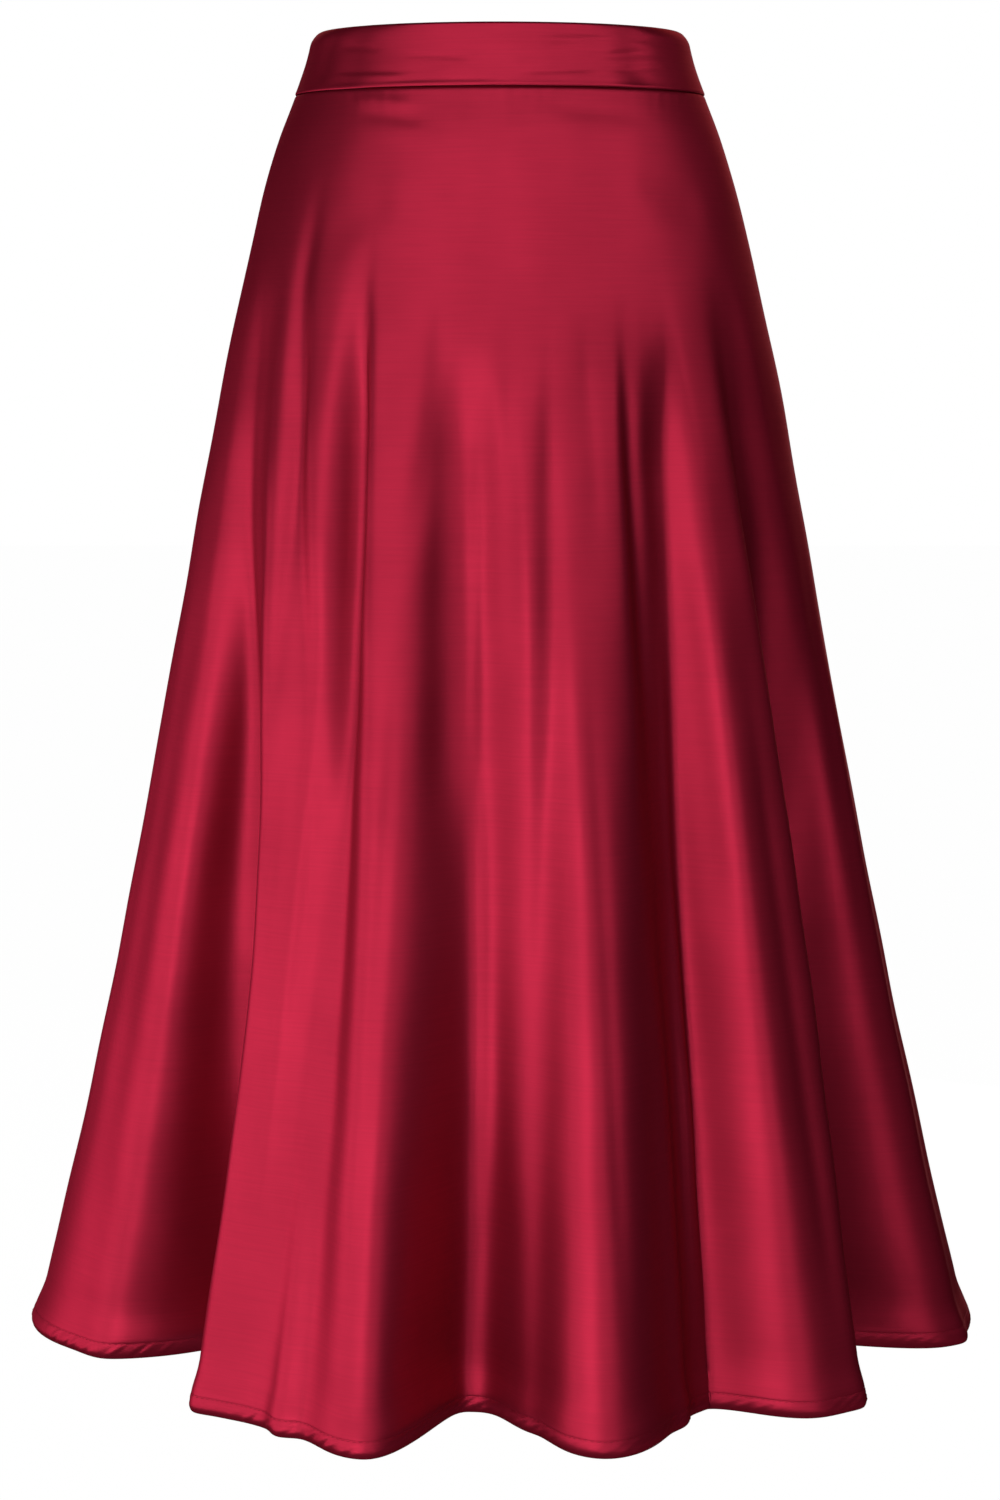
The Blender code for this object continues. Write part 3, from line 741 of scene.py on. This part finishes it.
def panel_rows(zip_first, zip_last):
    """Rows of a panel, from the waist seam to just behind the top of the turned hem."""
    top = BAND_FOOT - SEAM_GAP
    heights = [top, top - 0.0004, top - 0.0009, top - WAIST_ROLL_HEIGHT]
    heights += list(np.linspace(top - 0.0032, -0.055, 16))
    heights += list(np.linspace(-0.059, -0.075, 5))
    heights += list(np.linspace(-0.083, -0.866, 88))
    heights += [-0.871, -0.876, -0.880, -0.8835, -0.8853, -0.8862, -0.8867]
    heights += [HEM_TURN_TOP, HEM_TURN_TOP - 0.0004, HEM_TURN_TOP - 0.0012]
    rows = []
    for height in heights:
        rolled = max(0.0, 1 - (top - height) / WAIST_ROLL_HEIGHT) ** 2
        dent = min(max(0.0, 1 - (height - HEM_TURN_TOP) / 0.0020), 1.0) ** 2
        tucked = max(0.0, HEM_TURN_TOP - height) * 1.2
        outside = -WAIST_ROLL * rolled - STITCH_DENT * dent - tucked
        rows.append((height, outside, CLOTH_THICKNESS, edge_gap(height, zip_first),
                     edge_gap(height, zip_last)))
    return rows


# title, solid that it stands for, first and last seam, columns, zip at the first and last seam,
# flat cut (width and length) and its area
PANELS = (
    ("front", "skirt_front", -SIDE, SIDE, 360, False, False, (1.40, 0.92), 0.73),
    ("back_right", "skirt_back_right", SIDE, BACK, 180, False, True, (0.69, 0.92), 0.355),
    ("back_left", "skirt_back_left", -BACK, -SIDE, 180, True, False, (0.69, 0.92), 0.358),
)
for title, node, first, last, count, zip_first, zip_last, _, _ in PANELS:
    piece = shell("panel_" + title, (satin, reverse), first, last, count,
                  panel_rows(zip_first, zip_last), skirt_relief)
    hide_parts(node)
    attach(piece, "skirt")

# %% [markdown]
# ## The hem
# The raw edge is turned up by about a centimetre and stitched, so the last bit of the skirt is
# thicker, has a round lower edge and a fine seam line above it. On a flared hem the turned-up
# strip is a little longer than the cloth behind it, and the spare length shows as small slanting
# puckers. The strip needs columns a millimetre apart to show them, far finer than the panel needs,
# so it is a piece of its own, and the panel's last rows tuck in behind its upper edge.

# %% Turned hem
HEM_COLUMNS = 1200
PUCKER_LIFT = 0.00038
PUCKER_SLANT = 1.7
# distance below the stitch line, how far outside the ring, thickness
HEM_PROFILE = (
    (0.0000, -0.00012, 0.0008),
    (0.0004, -0.00010, 0.0012),
    (0.0010, -0.00002, 0.0015),
    (0.0020, 0.00010, 0.0018),
    (0.0034, 0.00018, 0.0020),
    (0.0050, 0.00020, 0.0020),
    (0.0066, 0.00020, 0.0020),
    (0.0082, 0.00020, 0.0020),
    (0.0096, 0.00015, 0.0020),
    (0.0108, 0.00005, 0.0019),
    (0.0115, -0.00015, 0.0015),
    (0.0119, -0.00050, 0.0008),
)


def hem_relief(angles, along, height):
    """The skirt's own relief, and slanting puckers that come and go along the hem."""
    down = HEM_TURN_TOP - height
    slant = along + PUCKER_SLANT * down
    pucker = np.sin(slant * 540.0) + 0.6 * np.sin(slant * 870.0 + 1.3)
    strength = 0.45 + 0.55 * np.sin(along * 61.0 + 0.7) * np.sin(along * 27.0)
    swell = math.sin(math.pi * min(max(down / 0.012, 0.0), 1.0))
    return skirt_relief(angles, along, height) + PUCKER_LIFT * swell * strength * pucker


for title, node, first, last, count, _, _, _, _ in PANELS:
    columns = HEM_COLUMNS if title == "front" else HEM_COLUMNS // 2
    rows = [(HEM_TURN_TOP - down, outside, thick, 0.0, 0.0)
            for down, outside, thick in HEM_PROFILE]
    piece = shell("hem_" + title, (satin, reverse), first, last, columns, rows, hem_relief)
    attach(piece, "skirt")

# %% [markdown]
# ## Hem stitches
# A line of machine stitches holds the turned hem. Each stitch is a short length of thread that
# comes up through the cloth, lies on it and goes down again. A line drawn in the material would
# vanish from the exported mesh, so every stitch is a small tube that dips at both ends, and all of
# a panel's stitches are one mesh.

# %% Stitches
STITCH_LENGTH = 0.0030
STITCH_SPACE = 0.0009
STITCH_RADIUS = 0.00020
STITCH_DOWN = 0.0006
STITCH_SUNK = 0.0003
STITCH_RISE = 0.00028
STITCH_SIDES = 6
STITCH_STATIONS = 5


def fix_normals(mesh):
    """Make every face of closed shapes look outwards."""
    shape = bmesh.new()
    shape.from_mesh(mesh)
    bmesh.ops.recalc_face_normals(shape, faces=shape.faces)
    shape.to_mesh(mesh)
    shape.free()


def stitch_line(name, first, last):
    """All the stitches of one panel's hem, each a small closed tube, as one mesh."""
    height = HEM_TURN_TOP - STITCH_DOWN
    angles = np.linspace(first, last, 4000)
    points = ring(angles, height)
    along = np.concatenate([[0.0], np.cumsum(np.linalg.norm(np.diff(points, axis=0), axis=1))])
    lift = hem_relief(angles, along - along[-1] / 2, height)
    forward = np.gradient(points, along, axis=0)
    pitch = STITCH_LENGTH + STITCH_SPACE
    starts = np.arange(pitch / 2, along[-1] - pitch, pitch)
    share = np.linspace(0.0, 1.0, STITCH_STATIONS)
    rise = np.sin(math.pi * share)
    turn = np.linspace(0.0, 2 * math.pi, STITCH_SIDES, endpoint=False)
    tubes, faces = [], []
    for start in starts:
        at = start + share * STITCH_LENGTH
        heading = np.stack([np.interp(at, along, forward[:, k]) for k in (0, 1)], axis=1)
        heading /= np.linalg.norm(heading, axis=1)[:, None]
        out = np.stack([heading[:, 1], -heading[:, 0]], axis=1)
        raised = np.interp(at, along, lift) - STITCH_SUNK + STITCH_RISE * rise
        middle = np.stack([np.interp(at, along, points[:, k]) for k in (0, 1)], axis=1)
        middle = middle + out * raised[:, None]
        radius = STITCH_RADIUS * (0.55 + 0.45 * rise)
        level = height + radius[:, None] * np.sin(turn)[None, :]
        spread = out[:, None, :] * (radius[:, None] * np.cos(turn)[None, :])[..., None]
        tube = np.concatenate([middle[:, None, :] + spread, level[..., None]], axis=2)
        base = len(tubes) * STITCH_STATIONS * STITCH_SIDES
        rings = base + np.arange(STITCH_STATIONS * STITCH_SIDES).reshape(STITCH_STATIONS, -1)
        for k in range(STITCH_STATIONS - 1):
            for j in range(STITCH_SIDES):
                after = (j + 1) % STITCH_SIDES
                faces.append((rings[k, j], rings[k, after], rings[k + 1, after], rings[k + 1, j]))
        faces.append(tuple(rings[0, ::-1]))
        faces.append(tuple(rings[-1]))
        tubes.append(tube.reshape(-1, 3))
    mesh = bpy.data.meshes.new(name)
    mesh.from_pydata(np.concatenate(tubes).tolist(), [], [[int(v) for v in f] for f in faces])
    fix_normals(mesh)
    mesh.uv_layers.new(name="cloth")
    corner = np.empty(len(mesh.loops), np.int32)
    mesh.loops.foreach_get("vertex_index", corner)
    spot = np.concatenate(tubes)[corner][:, [0, 2]]
    mesh.uv_layers["cloth"].data.foreach_set("uv", spot.ravel())
    mesh.shade_smooth()
    mesh.materials.append(thread)
    print(name, "has", len(starts), "stitches")
    return add_object(name, mesh)


for title, node, first, last, count, _, _, flat, area in PANELS:
    piece = stitch_line("hem_stitches_" + title, first, last)
    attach(piece, "skirt")

# %% [markdown]
# ## The waistband
# The waistband is a shaped strip, folded along its top edge, with its lower edge laid over the
# skirt and stitched down from inside. It needs to look thicker and firmer than the skirt, so its
# shell is three layers deep. Its top edge turns over, and at the sides it leans in a little too,
# which rounds the corners of the silhouette. Along the foot a small ridge lies above the seam.

# %% Waistband pieces
BAND_PROUD = 0.0007
BAND_THICKNESS = 0.0022
FOOT_RIDGE = 0.00011
FOOT_ROLL = 0.0005
FOOT_ROLL_HEIGHT = 0.0010
FOLD_ROLL = 0.0008
FOLD_ROLL_HEIGHT = 0.0011
FOLD_THINNER = 0.0014


def band_rows(zip_first, zip_last):
    """Rows of the waistband, from its folded top edge down to its foot at the waist seam."""
    heights = [BAND_TOP - down for down in (0, 0.0002, 0.0005, 0.0009, 0.0014, 0.0021, 0.0030)]
    heights += list(np.linspace(BAND_TOP - 0.0042, BAND_FOOT + 0.0045, 24))
    heights += [BAND_FOOT + up for up in (0.0034, 0.0026, 0.0020, 0.0015, 0.0010, 0.0006, 0.0003,
                                          0.0)]
    rows = []
    for height in heights:
        over = math.sqrt(max(0.0, 1 - min(1.0, (BAND_TOP - height) / FOLD_ROLL_HEIGHT))) ** 3
        ridge = math.exp(-(((height - BAND_FOOT - 0.0019) / 0.0009) ** 2))
        rolled = max(0.0, 1 - (height - BAND_FOOT) / FOOT_ROLL_HEIGHT) ** 2
        outside = BAND_PROUD - FOLD_ROLL * over + FOOT_RIDGE * ridge - FOOT_ROLL * rolled
        rows.append((height, outside, BAND_THICKNESS - FOLD_THINNER * over,
                     edge_gap(height, zip_first), edge_gap(height, zip_last)))
    return rows


BANDS = (
    ("front", "waistband_front", -SIDE, SIDE, 260, False, False, 0.375),
    ("back_right", "waistband_back_right", SIDE, BACK, 130, False, True, 0.190),
    ("back_left", "waistband_back_left", -BACK, -SIDE, 130, True, False, 0.190),
)
for title, node, first, last, count, zip_first, zip_last, width in BANDS:
    piece = shell("band_" + title, (satin, satin), first, last, count,
                  band_rows(zip_first, zip_last), band_relief)
    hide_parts(node)
    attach(piece, "skirt")

# %% [markdown]
# ## The zip
# A skirt like this closes with a concealed zip, here at the centre back. From outside only its
# small pull tab shows. Inside, a woven tape lies behind the opening and the coil runs down the
# middle of it. The tape is a shell like the panels, with a raised edge on both sides of the coil,
# and the coil is a row of small bars that reach in from the left and the right in turn.

# %% Tape and coil
TAPE_WIDTH = 0.022
TAPE_WALL = 0.0009
TAPE_SPREAD = 8.0
TAPE_TOP = -0.0008
TAPE_FACE = 0.0019
COIL_PITCH = 0.0013
COIL_REACH = 0.0019
COIL_RADIUS = 0.00042


def tape_relief(angles, along, height):
    """A cord woven in on both sides of the coil, and a fine ripple down the tape."""
    cord = np.exp(-(((np.abs(along) - 0.0026) / 0.0006) ** 2))
    return -0.00012 * cord + 0.00005 * np.sin(height * 900.0)


tape_rows = []
for height in np.linspace(TAPE_TOP, ZIP_END, 100):
    trim = section(height)[2] * math.radians(TAPE_SPREAD) - TAPE_WIDTH / 2
    tape_rows.append((height, -TAPE_FACE, TAPE_WALL, trim, trim))
zip_tape = shell("zip_tape_woven", (tape, tape), BACK - TAPE_SPREAD, BACK + TAPE_SPREAD, 26,
                 tape_rows, tape_relief)
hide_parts("zip_tape")
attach(zip_tape, "skirt")

# %% The coil
coil_finish, tree, shader = new_material("nylon coil")
shader.inputs["Roughness"].default_value = 0.42
speckle = tree.nodes.new("ShaderNodeTexNoise")
speckle.inputs["Scale"].default_value = 900.0
cast = tree.nodes.new("ShaderNodeMix")
cast.data_type = "RGBA"
cast.inputs["A"].default_value = (0.26, 0.011, 0.026, 1.0)
cast.inputs["B"].default_value = (0.38, 0.017, 0.038, 1.0)
place_on = tree.nodes.new("ShaderNodeTexCoord")
tree.links.new(place_on.outputs["Object"], speckle.inputs["Vector"])
tree.links.new(speckle.outputs["Fac"], cast.inputs["Factor"])
tree.links.new(cast.outputs["Result"], shader.inputs["Base Color"])

shape = bmesh.new()
heights = np.arange(TAPE_TOP - 0.0020, ZIP_END + 0.0020, -COIL_PITCH)
for number, height in enumerate(heights):
    inward = section(height)[2] - TAPE_FACE - TAPE_WALL - COIL_RADIUS * 0.6
    side = 1 if number % 2 else -1
    made = bmesh.ops.create_cone(shape, cap_ends=True, segments=8, radius1=COIL_RADIUS,
                                 radius2=COIL_RADIUS * 0.8, depth=COIL_REACH)["verts"]
    for vertex in made:
        x, y, z = vertex.co
        vertex.co = (side * (COIL_REACH * 0.30 + z), inward + y, height + x)
bmesh.ops.bevel(shape, geom=[edge for edge in shape.edges if len(edge.link_faces) == 2
                             and edge.calc_face_angle() > 1.2],
                offset=COIL_RADIUS * 0.35, segments=1, affect="EDGES")
bmesh.ops.recalc_face_normals(shape, faces=shape.faces)
coil_mesh = bpy.data.meshes.new("zip_coil")
shape.to_mesh(coil_mesh)
shape.free()
coil_mesh.shade_smooth()
coil_mesh.set_sharp_from_angle(angle=math.radians(50))
coil_mesh.materials.append(coil_finish)
coil = add_object("zip_coil", coil_mesh)
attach(coil, "skirt")
print("coil elements:", len(heights))

# %% [markdown]
# ## Slider and pull tab
# The slider and its tab are die-cast metal, sprayed to match the cloth. Their solids already have
# the right shape, so they stay, and only get a better finish: a coloured lacquer under a thin
# gloss, with fine specks and a little dulling where fingers touch it.

# %% Lacquered metal
lacquer, tree, shader = new_material("crimson lacquer")
shader.inputs["Metallic"].default_value = 0.8
shader.inputs["Specular Tint"].default_value = (0.42, 0.04, 0.075, 1.0)
shader.inputs["Coat Weight"].default_value = 0.06
shader.inputs["Coat Roughness"].default_value = 0.22
place_on = tree.nodes.new("ShaderNodeTexCoord")
specks = tree.nodes.new("ShaderNodeTexNoise")
specks.inputs["Scale"].default_value = 1500.0
specks.inputs["Detail"].default_value = 3.0
tree.links.new(place_on.outputs["Object"], specks.inputs["Vector"])
touched = tree.nodes.new("ShaderNodeTexNoise")
touched.inputs["Scale"].default_value = 260.0
tree.links.new(place_on.outputs["Object"], touched.inputs["Vector"])
enamel = tree.nodes.new("ShaderNodeMix")
enamel.data_type = "RGBA"
enamel.inputs["A"].default_value = (0.30, 0.012, 0.030, 1.0)
enamel.inputs["B"].default_value = (0.44, 0.020, 0.046, 1.0)
tree.links.new(specks.outputs["Fac"], enamel.inputs["Factor"])
tree.links.new(enamel.outputs["Result"], shader.inputs["Base Color"])
dulled = math_node(tree, "MULTIPLY_ADD", touched.outputs["Fac"], 0.22, 0.20)
tree.links.new(dulled, shader.inputs["Roughness"])
pits = tree.nodes.new("ShaderNodeBump")
pits.inputs["Strength"].default_value = 0.2
pits.inputs["Distance"].default_value = 0.00004
tree.links.new(specks.outputs["Fac"], pits.inputs["Height"])
tree.links.new(pits.outputs["Normal"], shader.inputs["Normal"])
for node in ("zip_slider", "zip_pull"):
    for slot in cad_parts[node].material_slots:
        slot.material = lacquer
print("lacquered:", "zip_slider", "zip_pull")
